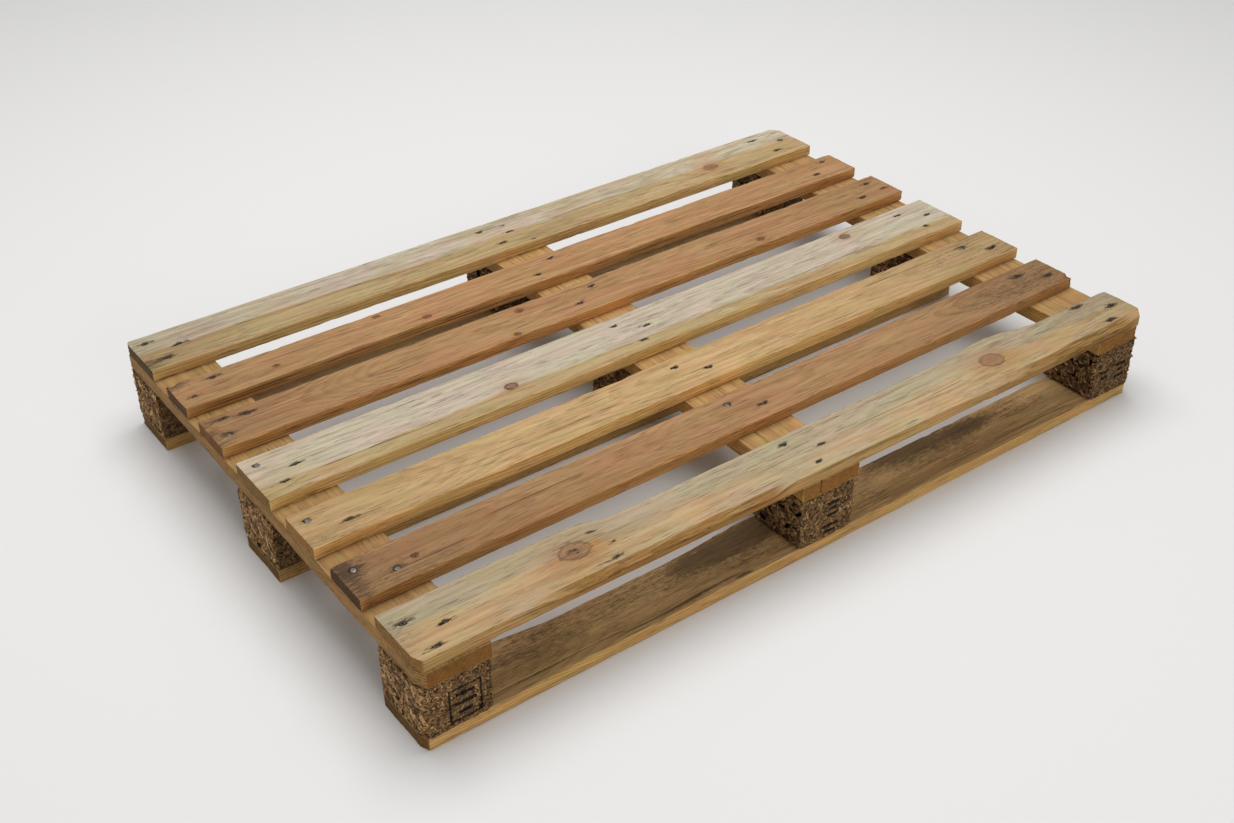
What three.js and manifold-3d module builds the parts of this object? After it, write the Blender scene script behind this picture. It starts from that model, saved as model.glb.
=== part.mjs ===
// A four-way wooden pallet: seven deck boards on three stringer boards, nine pressed chip blocks and
// three base boards, held together by nails.
//
// The frame: X runs along the deck boards, Y along the stringer boards and Z up. The origin is on the
// floor, in the middle of the footprint. The front of the pallet faces -Y. Lengths are millimetres.

import * as THREE from 'three';
import { mergeVertices } from 'three/addons/utils/BufferGeometryUtils.js';
import Module from 'manifold-3d';

const wasm = await Module();
wasm.setup();

// ---------------------------------------------------------------------------------------------
// Driving dimensions
// ---------------------------------------------------------------------------------------------

const LENGTH = 1200;
const WIDTH = 800;

// The four layers, from the floor up.
const BASE_THICKNESS = 18;
const BLOCK_HEIGHT = 78;
const STRINGER_THICKNESS = 22;
const DECK_THICKNESS = 17;

const BLOCK_BOTTOM = BASE_THICKNESS;
const BLOCK_TOP = BLOCK_BOTTOM + BLOCK_HEIGHT;
const STRINGER_TOP = BLOCK_TOP + STRINGER_THICKNESS;
const DECK_TOP = STRINGER_TOP + DECK_THICKNESS;

// The outer corners are sawn off, straight down through every layer. Each cut is given by what it
// takes off the length and off the width.
const CORNER_CUTS = {
  frontLeft: [10, 20],
  frontRight: [17, 16],
  backRight: [13, 14],
  backLeft: [4, 5],
};

// Sawn boards have slightly blunt edges, and pressed blocks have round ones along their length.
const BOARD_EASE = 1;
const BLOCK_ROUND = 9;
const ROUND_STEPS = 4;

// The nails, and the room that a nail has in its bore.
const NAIL = { shank: 1.8, head: 4, headThickness: 1.5, neck: 1.5, point: 6, sides: 8 };
const NAIL_ROOM = 0.3;
const NAIL_SINK = 0.8;
const BLOCK_NAIL_LENGTH = 88;
const BOARD_NAIL_LENGTH = 36;
const BASE_NAIL_LENGTH = 66;

// How far a cutting solid reaches past the face that it opens.
const OVERCUT = 1;

// Where the first nail of each joint stands from the joint's middle: a wide board has three nails to
// a joint and a narrow board two, on alternate diagonals.
const WIDE_NAIL = [-20, 28];
const NARROW_NAIL = [-20, 16];
const NARROW_NAIL_TURNED = [20, 18];
const BASE_NAIL = [20, -24];

// The columns of stringer boards and blocks across the length. A stringer board starts at its front
// end, and a column that lies askew is this much further right at the back than in its middle.
const COLUMNS = [
  { name: 'left', middle: -560, stringer: [-600, -510], block: [-600, -512], frontEnd: -396, askew: 0 },
  { name: 'middle', middle: -11, stringer: [-52, 41], block: [-52, 36], frontEnd: -398, askew: 5 },
  { name: 'right', middle: 552, stringer: [504, 596], block: [506, 595], frontEnd: -398, askew: 0 },
];

// The rows of blocks and base boards across the width, placed at their right ends. They all lie a
// little askew: the left end of a row is this much further back.
const ROW_SKEW = 5;
const ROWS = [
  { name: 'front', middle: -352, base: [-396, -306], block: [-398, -307] },
  { name: 'middle', middle: 4, base: [-43, 47], block: [-41, 49] },
  { name: 'back', middle: 353, base: [307, 397], block: [309, 399] },
];

// The deck boards, from the back of the pallet to the front, each by the place of its two edges.
const DECK_BOARDS = [
  { back: 400, front: 306, nail: WIDE_NAIL, wood: 'weathered' },
  { back: 261, front: 195, nail: NARROW_NAIL_TURNED, wood: 'red' },
  { back: 158, front: 85, nail: NARROW_NAIL_TURNED, wood: 'red' },
  { back: 47, front: -47, nail: WIDE_NAIL, wood: 'weathered' },
  { back: -87, front: -160, nail: NARROW_NAIL, wood: 'yellow' },
  { back: -199, front: -270, right: 596, nail: NARROW_NAIL, wood: 'red' },
  { back: -314, front: -400, nail: WIDE_NAIL, wood: 'yellow', edges: frontDeckEdges() },
];

// The base boards stop a little short of the deck on the right.
const BASE_RIGHT_END = 597;

// The wane of the front deck board: its top edge slopes away where the log's bark was, more and more
// from one place to another and then on to its right end.
const WANE = { from: 180, full: 440, width: 13, depth: 9, step: 43 };

// The split along the grain in the front end of the middle stringer board.
const SPLIT = { x: -25, length: 150, width: 2.5 };

const WOODS = {
  weathered: { color: 0xb9a88a, roughness: 0.85 },
  red: { color: 0xa9764e, roughness: 0.8 },
  yellow: { color: 0xb8935c, roughness: 0.8 },
  base: { color: 0x9c7a50, roughness: 0.85 },
  chip: { color: 0x8a6b4c, roughness: 0.9 },
};
const STEEL = { color: 0x55504b, roughness: 0.45, metalness: 0.8 };

// ---------------------------------------------------------------------------------------------
// Natural edges
// ---------------------------------------------------------------------------------------------

// How far an edge has swollen at x, from 0 to 1, beside a knot in the middle of the reach.
function swell(x, middle, reach) {
  return Math.exp(-(((x - middle) / reach) ** 2));
}

// How far the row of blocks or base boards stands back at x from where it stands at its right end.
function rowShift(x) {
  return ROW_SKEW * (0.5 - x / LENGTH);
}

// How far a column stands to the right at y from where it stands in the middle.
function columnShift(column, y) {
  return (column.askew * y) / (WIDTH / 2);
}

// The front deck board was sawn from the outside of the log, so its edges follow the tree: the back
// edge steps in behind the left knot, swells beside the right one and narrows towards the right end.
function frontDeckEdges() {
  const { smoothstep } = THREE.MathUtils;
  return {
    back: (x) => -301 - 13 * smoothstep(x, -345, -285) + 7 * swell(x, 350, 45)
      - 9 * smoothstep(x, 385, 445),
    front: (x) => -393.5 - 6.5 * smoothstep(x, -450, 350),
    step: 30,
  };
}

// The two edges of a base board, which follow its row's skew.
function baseEdges([front, back]) {
  return { front: (x) => front + rowShift(x), back: (x) => back + rowShift(x) };
}

// The inner edge of the front base board is the bark side of the log: it steps in past the left
// block, and comes out again for a short way beside the middle one.
function frontBaseEdges([front, back]) {
  const { smoothstep } = THREE.MathUtils;
  return {
    front: (x) => front + rowShift(x),
    back: (x) => back + rowShift(x) - 10 * smoothstep(x, -475, -375) + 7 * swell(x, -82, 70),
    step: 30,
  };
}

// ---------------------------------------------------------------------------------------------
// Shapes
// ---------------------------------------------------------------------------------------------

// The outline of a piece seen from above. Its edges may be functions of x, sampled along the board.
function planPoints([left, right], edges) {
  const count = edges.step ? Math.round((right - left) / edges.step) : 1;
  const points = [];
  for (let i = 0; i <= count; i++) {
    const x = left + ((right - left) * i) / count;
    points.push(new THREE.Vector2(x, edges.front(x)));
  }
  for (let i = count; i >= 0; i--) {
    const x = left + ((right - left) * i) / count;
    points.push(new THREE.Vector2(x, edges.back(x)));
  }
  return points;
}

function straightEdges([front, back]) {
  return { front: () => front, back: () => back };
}

// A prism on the given outline from one height to another, with all its edges blunted by ease.
function prism(points, bottom, top, ease) {
  const geometry = new THREE.ExtrudeGeometry(new THREE.Shape(points), {
    depth: top - bottom - 2 * ease,
    bevelEnabled: ease > 0,
    bevelThickness: ease,
    bevelSize: ease,
    bevelOffset: -ease,
    bevelSegments: 1,
  });
  geometry.translate(0, 0, bottom + ease);
  return geometry;
}

// A rectangle with round corners, as a closed outline in the plane of the extrusion.
function roundedRectangle([left, right], [bottom, top], radius) {
  const shape = new THREE.Shape();
  shape.moveTo(left + radius, bottom);
  shape.lineTo(right - radius, bottom);
  shape.absarc(right - radius, bottom + radius, radius, -Math.PI / 2, 0);
  shape.lineTo(right, top - radius);
  shape.absarc(right - radius, top - radius, radius, 0, Math.PI / 2);
  shape.lineTo(left + radius, top);
  shape.absarc(left + radius, top - radius, radius, Math.PI / 2, Math.PI);
  shape.lineTo(left, bottom + radius);
  shape.absarc(left + radius, bottom + radius, radius, Math.PI, 1.5 * Math.PI);
  return shape;
}

// A nail standing on its point, or the bore for it when room is more than 0. Its axis is Z and the
// flat of its head is at z = 0.
function nailGeometry(length, room) {
  const shank = NAIL.shank + room;
  const head = NAIL.head + room;
  const headBottom = -NAIL.headThickness - room;
  const neckBottom = headBottom - NAIL.neck;
  const mouth = room > 0 ? NAIL_SINK + OVERCUT : 0;
  const profile = [
    [0, -length - 2 * room],
    [shank, -length + NAIL.point - room],
    [shank, neckBottom],
    [head, headBottom],
    [head, mouth],
    [0, mouth],
  ].map(([r, z]) => new THREE.Vector2(r, z));
  const geometry = new THREE.LatheGeometry(profile, NAIL.sides);
  return geometry.rotateX(Math.PI / 2);
}

// ---------------------------------------------------------------------------------------------
// Solids
// ---------------------------------------------------------------------------------------------

function toSolid(source) {
  const bare = source.clone();
  bare.deleteAttribute('normal');
  bare.deleteAttribute('uv');
  const merged = mergeVertices(bare, 1e-4);
  return new wasm.Manifold(new wasm.Mesh({
    numProp: 3,
    vertProperties: merged.attributes.position.array,
    triVerts: new Uint32Array(merged.index.array),
  }));
}

function toGeometry(solid) {
  const mesh = solid.getMesh();
  const geometry = new THREE.BufferGeometry();
  geometry.setAttribute('position', new THREE.BufferAttribute(new Float32Array(mesh.vertProperties), 3));
  geometry.setIndex(new THREE.BufferAttribute(new Uint32Array(mesh.triVerts), 1));
  geometry.computeVertexNormals();
  return geometry;
}

// The footprint of the whole pallet, with its corners sawn off.
function footprint() {
  const [x, y] = [LENGTH / 2, WIDTH / 2];
  const { frontLeft, frontRight, backRight, backLeft } = CORNER_CUTS;
  return [
    new THREE.Vector2(-x + frontLeft[0], -y),
    new THREE.Vector2(x - frontRight[0], -y),
    new THREE.Vector2(x, -y + frontRight[1]),
    new THREE.Vector2(x, y - backRight[1]),
    new THREE.Vector2(x - backRight[0], y),
    new THREE.Vector2(-x + backLeft[0], y),
    new THREE.Vector2(-x, y - backLeft[1]),
    new THREE.Vector2(-x, -y + frontLeft[1]),
  ];
}

const trim = toSolid(prism(footprint(), -OVERCUT, DECK_TOP + OVERCUT, 0));

// ---------------------------------------------------------------------------------------------
// The nails: each is placed once, and every piece that it passes through is bored for it.
// ---------------------------------------------------------------------------------------------

function nailFromAbove(name, x, y, length) {
  return { name, length, place: new THREE.Matrix4().makeTranslation(x, y, DECK_TOP - NAIL_SINK) };
}

function nailFromBelow(name, x, y, length) {
  const place = new THREE.Matrix4().makeRotationX(Math.PI).setPosition(x, y, NAIL_SINK);
  return { name, length, place };
}

function middleOf(board) {
  return (board.back + board.front) / 2;
}

function placeNails() {
  const nails = [];
  for (const column of COLUMNS) {
    DECK_BOARDS.forEach((board, index) => {
      const [dx, dy] = board.nail;
      const length = board.nail === WIDE_NAIL ? BLOCK_NAIL_LENGTH : BOARD_NAIL_LENGTH;
      const name = `deck_nail_${index + 1}_${column.name}`;
      nails.push(nailFromAbove(name, column.middle + dx, middleOf(board) + dy, length));
    });
    for (const row of ROWS) {
      const x = column.middle + BASE_NAIL[0];
      const y = row.middle + rowShift(x) + BASE_NAIL[1];
      nails.push(nailFromBelow(`base_nail_${row.name}_${column.name}`, x, y, BASE_NAIL_LENGTH));
    }
  }
  return nails;
}

const nails = placeNails();

// Takes the bore of every nail that reaches this piece out of it.
function bored(solid) {
  const { min, max } = solid.boundingBox();
  const inside = (value, axis) => value > min[axis] && value < max[axis];
  for (const nail of nails) {
    const at = new THREE.Vector3().setFromMatrixPosition(nail.place);
    if (!inside(at.x, 0) || !inside(at.y, 1)) continue;
    const bore = nailGeometry(nail.length, NAIL_ROOM).applyMatrix4(nail.place);
    solid = solid.subtract(toSolid(bore));
  }
  return solid;
}

// ---------------------------------------------------------------------------------------------
// The pieces
// ---------------------------------------------------------------------------------------------

const pallet = new THREE.Group();

function addPiece(name, geometry, finish) {
  const material = new THREE.MeshStandardMaterial({ metalness: 0, flatShading: true, ...finish });
  const mesh = new THREE.Mesh(geometry, material);
  mesh.name = name;
  pallet.add(mesh);
  return mesh;
}

// A sawn board: its outline from above, trimmed at the pallet's corners and bored for its nails.
function boardSolid(span, edges, bottom, top) {
  const blank = toSolid(prism(planPoints(span, edges), bottom, top, BOARD_EASE));
  return bored(blank.intersect(trim));
}

// What the wane takes off: a wedge along the top front edge, built up from short lengths.
function waneCutter(edges) {
  const slice = (x) => {
    const grown = THREE.MathUtils.smoothstep(x, WANE.from, WANE.full);
    const front = edges.front(x);
    const slope = WANE.depth / WANE.width;
    return [
      [x, front + WANE.width * grown, DECK_TOP],
      [x, front + WANE.width * grown, DECK_TOP + OVERCUT],
      [x, front - OVERCUT, DECK_TOP + OVERCUT],
      [x, front - OVERCUT, DECK_TOP - WANE.depth * grown - OVERCUT * slope],
    ];
  };
  const count = Math.round((LENGTH / 2 - WANE.from) / WANE.step);
  const lengths = [];
  for (let i = 0; i < count; i++) {
    const x = WANE.from + i * WANE.step;
    lengths.push(wasm.Manifold.hull([...slice(x), ...slice(x + WANE.step)]));
  }
  return wasm.Manifold.union(lengths);
}

function addDeckBoards() {
  DECK_BOARDS.forEach((board, index) => {
    const span = [-LENGTH / 2, board.right ?? LENGTH / 2];
    const edges = board.edges ?? straightEdges([board.front, board.back]);
    let solid = boardSolid(span, edges, STRINGER_TOP, DECK_TOP);
    if (board.edges) solid = solid.subtract(waneCutter(edges));
    addPiece(`deck_board_${index + 1}`, toGeometry(solid), WOODS[board.wood]);
  });
}

// A sliver that opens the grain from the front end of the board and closes to nothing.
function splitCutter() {
  const front = -WIDTH / 2 - OVERCUT;
  const outline = [
    new THREE.Vector2(SPLIT.x - SPLIT.width / 2, front),
    new THREE.Vector2(SPLIT.x + SPLIT.width / 2, front),
    new THREE.Vector2(SPLIT.x, front + SPLIT.length),
  ];
  return toSolid(prism(outline, BLOCK_TOP - OVERCUT, STRINGER_TOP + OVERCUT, 0));
}

function stringerSolid(column) {
  const [left, right] = column.stringer;
  const corner = (x, y) => new THREE.Vector2(x + columnShift(column, y), y);
  const back = WIDTH / 2;
  const outline = [
    corner(left, column.frontEnd),
    corner(right, column.frontEnd),
    corner(right, back),
    corner(left, back),
  ];
  const blank = toSolid(prism(outline, BLOCK_TOP, STRINGER_TOP, BOARD_EASE));
  return bored(blank.intersect(trim));
}

function addStringers() {
  for (const column of COLUMNS) {
    let solid = stringerSolid(column);
    if (column.name === 'middle') solid = solid.subtract(splitCutter());
    addPiece(`stringer_board_${column.name}`, toGeometry(solid), WOODS.yellow);
  }
}

function addBaseBoards() {
  for (const row of ROWS) {
    const edges = row.name === 'front' ? frontBaseEdges(row.base) : baseEdges(row.base);
    const solid = boardSolid([-LENGTH / 2, BASE_RIGHT_END], edges, 0, BASE_THICKNESS);
    addPiece(`base_board_${row.name}`, toGeometry(solid), WOODS.base);
  }
}

// A pressed block is cut from a long bar of bonded chips whose section has round corners.
function blockSolid(column, row) {
  const [front, back] = row.block;
  const section = roundedRectangle(column.block, [BLOCK_BOTTOM, BLOCK_TOP], BLOCK_ROUND);
  const bar = new THREE.ExtrudeGeometry(section, {
    depth: back - front,
    bevelEnabled: false,
    curveSegments: ROUND_STEPS,
  });
  const shift = [columnShift(column, row.middle), rowShift(column.middle)];
  bar.rotateX(Math.PI / 2).translate(shift[0], back + shift[1], 0);
  return bored(toSolid(bar).intersect(trim));
}

function addBlocks() {
  for (const row of ROWS) {
    for (const column of COLUMNS) {
      const name = `block_${row.name}_${column.name}`;
      addPiece(name, toGeometry(blockSolid(column, row)), WOODS.chip);
    }
  }
}

function addNails() {
  for (const nail of nails) {
    const mesh = addPiece(nail.name, nailGeometry(nail.length, 0), STEEL);
    mesh.applyMatrix4(nail.place);
  }
}

addBaseBoards();
addBlocks();
addStringers();
addDeckBoards();
addNails();

export default pallet;
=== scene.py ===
import math

import bpy
import numpy as np
from mathutils import Matrix, Vector
from mathutils.bvhtree import BVHTree


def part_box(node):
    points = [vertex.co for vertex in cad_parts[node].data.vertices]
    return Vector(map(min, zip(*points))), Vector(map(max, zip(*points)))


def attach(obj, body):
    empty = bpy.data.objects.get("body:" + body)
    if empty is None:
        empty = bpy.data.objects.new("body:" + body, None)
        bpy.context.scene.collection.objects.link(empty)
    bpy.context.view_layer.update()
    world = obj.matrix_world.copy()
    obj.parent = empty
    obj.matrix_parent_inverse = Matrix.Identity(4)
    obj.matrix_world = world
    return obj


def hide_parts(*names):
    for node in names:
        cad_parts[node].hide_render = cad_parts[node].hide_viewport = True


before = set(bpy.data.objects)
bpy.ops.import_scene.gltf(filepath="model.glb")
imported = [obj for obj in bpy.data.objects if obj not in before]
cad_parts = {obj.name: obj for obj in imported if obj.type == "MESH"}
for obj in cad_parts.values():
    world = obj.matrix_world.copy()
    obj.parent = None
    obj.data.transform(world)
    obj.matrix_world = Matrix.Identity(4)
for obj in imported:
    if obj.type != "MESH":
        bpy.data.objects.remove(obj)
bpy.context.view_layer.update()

# A used four-way timber pallet. Lengths are millimetres until a mesh is made; the CAD frame gives every
# place and size. "Along", "across" and "up" are a board's own directions: its grain, its width, height.

MM = 0.001
COLUMNS = ("left", "middle", "right")
ROWS = ("front", "middle", "back")
rng = np.random.default_rng(20)


# ---- Camera, floor and light ----

CAMERA_PLACE = (-1120.45, -1444.95, 1248.33)
CAMERA_AZIMUTH, CAMERA_DROP, CAMERA_ROLL = 36.60, 34.52, -0.18
CAMERA_LENS, SENSOR_WIDTH = 44.281, 36.0
FLOOR_SIZE, FLOOR_DROP = 24, 0.0002
FLOOR_PAINT = (0.80, 0.80, 0.80, 1)
SKY_STRENGTH = 0.28
# A soft overhead light and two weak fills: place and target in metres, size, power and colour.
LIGHTS = dict(
    top_light=((0.2, 0.5, 3.4), (0, 0, 0), 3.0, 106, (1.0, 0.99, 0.98)),
    front_fill=((-0.4, -4.2, 1.3), (0, 0, 0.1), 2.6, 52, (1.0, 0.97, 0.92)),
    left_fill=((-3.8, 0.4, 1.6), (0, 0, 0.1), 2.2, 12, (1.0, 0.98, 0.95)),
)


def add_camera():
    """A camera that looks down on the pallet from beyond its front left corner."""
    data = bpy.data.cameras.new("camera")
    data.lens = CAMERA_LENS
    data.sensor_width = SENSOR_WIDTH
    camera = bpy.data.objects.new("camera", data)
    camera.location = Vector(CAMERA_PLACE) * MM
    turn = Matrix.Rotation(math.radians(-CAMERA_AZIMUTH), 4, "Z")
    tilt = Matrix.Rotation(math.radians(90 - CAMERA_DROP), 4, "X")
    roll = Matrix.Rotation(math.radians(CAMERA_ROLL), 4, "Z")
    camera.rotation_euler = (turn @ tilt @ roll).to_euler()
    bpy.context.scene.collection.objects.link(camera)
    bpy.context.scene.camera = camera


def add_area_light(name, place, target, size, power, colour):
    """A square soft light at place, in metres, facing target."""
    data = bpy.data.lights.new(name, "AREA")
    data.shape = "SQUARE"
    data.size = size
    data.energy = power
    data.color = colour
    lamp = bpy.data.objects.new(name, data)
    lamp.location = place
    lamp.rotation_euler = (Vector(target) - Vector(place)).to_track_quat("-Z", "Y").to_euler()
    bpy.context.scene.collection.objects.link(lamp)


def add_stage():
    """The pale floor, the lights and a white sky."""
    bpy.ops.mesh.primitive_plane_add(size=FLOOR_SIZE, location=(0, 0, -FLOOR_DROP))
    floor = bpy.context.object
    floor.name = "floor"
    paint = new_material("floor_paint")
    shader = paint.node_tree.nodes["Principled BSDF"]
    shader.inputs["Base Color"].default_value = FLOOR_PAINT
    shader.inputs["Roughness"].default_value = 0.9
    floor.data.materials.append(paint)
    for name, values in LIGHTS.items():
        add_area_light(name, *values)
    world = bpy.data.worlds.new("sky")
    world.use_nodes = True
    sky = world.node_tree.nodes["Background"]
    sky.inputs["Color"].default_value = (1, 1, 1, 1)
    sky.inputs["Strength"].default_value = SKY_STRENGTH
    bpy.context.scene.world = world
    bpy.context.scene.view_settings.view_transform = "Standard"


# ---- Noise ----

def cell_values(cell, seed):
    """A fixed random number from -1 to 1 for every whole-numbered cell."""
    parts = cell.astype(np.uint32)
    mixed = parts[:, 0] * np.uint32(374761393) + parts[:, 1] * np.uint32(668265263)
    mixed += parts[:, 2] * np.uint32(2246822519) + np.uint32((seed * 1274126177) % 2**32)
    mixed = (mixed ^ (mixed >> np.uint32(13))) * np.uint32(1274126177)
    mixed = (mixed ^ (mixed >> np.uint32(15))) * np.uint32(2246822519)
    return (mixed ^ (mixed >> np.uint32(16))).astype(np.float64) / 2**31 - 1


def noise(points, seed):
    """Smooth noise from -1 to 1 at each point; its waves are about two units long."""
    cell = np.floor(points)
    part = points - cell
    fade = part**3 * (part * (part * 6 - 15) + 10)
    cell = cell.astype(np.int64)
    total = np.zeros(len(points))
    for corner in np.ndindex(2, 2, 2):
        side = np.array(corner)
        weight = np.where(side == 1, fade, 1 - fade).prod(1)
        total += weight * cell_values(cell + side, seed)
    return total


def layered(points, size, seed, layers=3):
    """Noise with finer and weaker layers on it. size is the length of one wave along each axis, in mm."""
    total, reach = np.zeros(len(points)), 1.0
    for layer in range(layers):
        scaled = points * (2.0**layer) / np.asarray(size, float)
        total += reach * noise(scaled, seed + 17 * layer)
        reach *= 0.5
    return total


def noise_along(along, size, seed):
    """Noise that depends only on the place along a board."""
    flat = np.stack([along / size, np.full_like(along, 0.5), np.full_like(along, 0.5)], 1)
    return noise(flat, seed)


def smooth(value, low, high):
    """0 below low, 1 above high, and a smooth rise between them."""
    share = np.clip((value - low) / (high - low), 0, 1)
    return share * share * (3 - 2 * share)


def bell(value, middle, reach):
    """1 at the middle and falling away on both sides."""
    return np.exp(-(((value - middle) / reach) ** 2))


# ---- Meshes ----

def skin(counts):
    """The points on the skin of a block of cells, as whole steps, and its four-sided outward faces."""
    index = np.full([count + 1 for count in counts], -1)
    steps = np.indices(index.shape)
    on_skin = np.zeros(index.shape, bool)
    for axis, count in enumerate(counts):
        on_skin |= (steps[axis] == 0) | (steps[axis] == count)
    index[on_skin] = np.arange(on_skin.sum())
    faces = []
    for axis in range(3):
        for end in (0, -1):
            side = np.take(index, end, axis)
            quads = np.stack([side[:-1, :-1], side[1:, :-1], side[1:, 1:], side[:-1, 1:]], -1)
            quads = quads.reshape(-1, 4)
            outward = (end == -1) != (axis == 1)
            faces.append(quads if outward else quads[:, ::-1])
    return np.argwhere(on_skin), np.concatenate(faces)


def normals_of(points, faces):
    """The outward direction at each point, averaged from its faces."""
    corner = points[faces]
    face_normal = np.cross(corner[:, 2] - corner[:, 0], corner[:, 3] - corner[:, 1])
    total = np.zeros_like(points)
    for column in range(4):
        np.add.at(total, faces[:, column], face_normal)
    return total / np.maximum(np.linalg.norm(total, axis=1, keepdims=True), 1e-9)


class Body:
    """Points, faces and per-point values of a piece, gathered before its mesh is made."""

    def __init__(self):
        self.points, self.faces, self.values, self.count = [], [], {}, 0

    def add(self, points, *face_groups, **values):
        """Adds points, their faces and their values. A value that is not given is 0."""
        for name in {**self.values, **values}:
            kept = self.values.setdefault(name, [np.zeros(len(p)) for p in self.points])
            given = values.get(name, 0.0)
            kept.append(np.broadcast_to(np.asarray(given, float), (len(points),)).copy())
        self.points.append(points)
        self.faces += [faces + self.count for faces in face_groups]
        self.count += len(points)

    def make(self, name, material):
        """The finished object, riding on the frame."""
        points = np.concatenate(self.points)
        sizes = np.concatenate([np.full(len(f), f.shape[1]) for f in self.faces])
        corners = np.concatenate([f.ravel() for f in self.faces])
        mesh = bpy.data.meshes.new(name)
        mesh.vertices.add(len(points))
        mesh.vertices.foreach_set("co", (points * MM).astype(np.float32).ravel())
        mesh.loops.add(len(corners))
        mesh.loops.foreach_set("vertex_index", corners.astype(np.int32))
        mesh.polygons.add(len(sizes))
        starts = np.concatenate([[0], np.cumsum(sizes)[:-1]])
        mesh.polygons.foreach_set("loop_start", starts.astype(np.int32))
        mesh.update(calc_edges=True)
        mesh.validate()
        mesh.polygons.foreach_set("use_smooth", np.ones(len(sizes), bool))
        for key, parts in self.values.items():
            attribute = mesh.attributes.new(key, "FLOAT", "POINT")
            attribute.data.foreach_set("value", np.concatenate(parts).astype(np.float32))
        mesh.materials.append(material)
        piece = bpy.data.objects.new(name, mesh)
        bpy.context.scene.collection.objects.link(piece)
        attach(piece, "root")
        return piece


def spread(low, high, step, fine_step, fine_places):
    """Places from low to high, a step apart, and closer together near the fine places, each with its
    own reach."""
    places = [low]
    while places[-1] < high:
        here = places[-1]
        near = min((abs(here - place) / reach for place, reach in fine_places), default=9.0)
        gap = fine_step + (step - fine_step) * float(smooth(near, 1.0, 1.6))
        places.append(here + gap)
    places = np.array(places)
    return low + (places - low) * (high - low) / (places[-1] - low)


def shares(length, step):
    """Places from 0 to 1 across a face, crowded at both edges so that the edges can be rounded."""
    edge = np.array([0, 0.35, 0.8, 1.4, 2.2, 3.2, 4.4])
    inner = np.linspace(edge[-1], length - edge[-1], max(2, round((length - 2 * edge[-1]) / step)))
    return np.concatenate([edge[:-1], inner, (length - edge[:-1])[::-1]]) / length


# ---- The CAD outline of a board ----

def cad_surface(node):
    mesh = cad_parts[node].data
    points = [v.co / MM for v in mesh.vertices]
    return BVHTree.FromPolygons(points, [list(p.vertices) for p in mesh.polygons])


def cad_box(node):
    low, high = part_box(node)
    return np.array(low) / MM, np.array(high) / MM


def edge_places(node, turned, along):
    """Where a board's two long edges are, at each place along it, in the board's own directions."""
    surface = cad_surface(node)
    low, high = cad_box(node)
    height = (low[2] + high[2]) / 2
    start, end = (low[1], high[1]) if turned else (low[0], high[0])
    result = np.zeros((2, len(along)))
    far = 2000.0
    for i, place in enumerate(np.clip(along, start + 0.02, end - 0.02)):
        for side, sign in ((0, 1.0), (1, -1.0)):
            if turned:
                origin, direction = Vector((far * sign, place, height)), Vector((-sign, 0, 0))
            else:
                origin, direction = Vector((place, -far * sign, height)), Vector((0, sign, 0))
            hit = surface.ray_cast(origin, direction)[0]
            result[side, i] = -hit.x if turned else hit.y
    return result


# ---- Nails: the first of each group is a CAD node, and the others stand at fixed steps from it ----

WIDE_STEPS = ((0, 0), (40, -26), (12, -52))
NARROW_STEPS = ((0, 0), (40, -26))
NARROW_STEPS_TURNED = ((0, 0), (-40, -30))
BASE_STEPS = ((0, 0), (-40, 24), (-12, 50))
NAIL_SPOT = 1.6
STEPS_OF_BOARD = (WIDE_STEPS, NARROW_STEPS_TURNED, NARROW_STEPS_TURNED, WIDE_STEPS,
                  NARROW_STEPS, NARROW_STEPS, WIDE_STEPS)


def nail_group(node, steps):
    """The nails of one joint as (name, x, y), the first at the CAD node's own place."""
    low, high = cad_box(node)
    x, y = (low[:2] + high[:2]) / 2
    nails = []
    for number, (dx, dy) in enumerate(steps):
        shift = rng.uniform(-NAIL_SPOT, NAIL_SPOT, 2) if number else (0, 0)
        nails.append((f"{node}_{'abc'[number]}", x + dx + shift[0], y + dy + shift[1]))
    return nails


def deck_nails(number):
    steps = STEPS_OF_BOARD[number - 1]
    return [n for column in COLUMNS for n in nail_group(f"deck_nail_{number}_{column}", steps)]


def base_nails(row):
    return [n for column in COLUMNS for n in nail_group(f"base_nail_{row}_{column}", BASE_STEPS)]


# ---- Shader graphs ----

def new_material(name):
    material = bpy.data.materials.new(name)
    material.use_nodes = True
    return material


def colour(red, green, blue):
    """A shader colour from the red, green and blue that a screen shows, each 0 to 255."""
    def linear(part):
        part /= 255
        return part / 12.92 if part <= 0.04045 else ((part + 0.055) / 1.055) ** 2.4
    return (linear(red), linear(green), linear(blue), 1)


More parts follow.
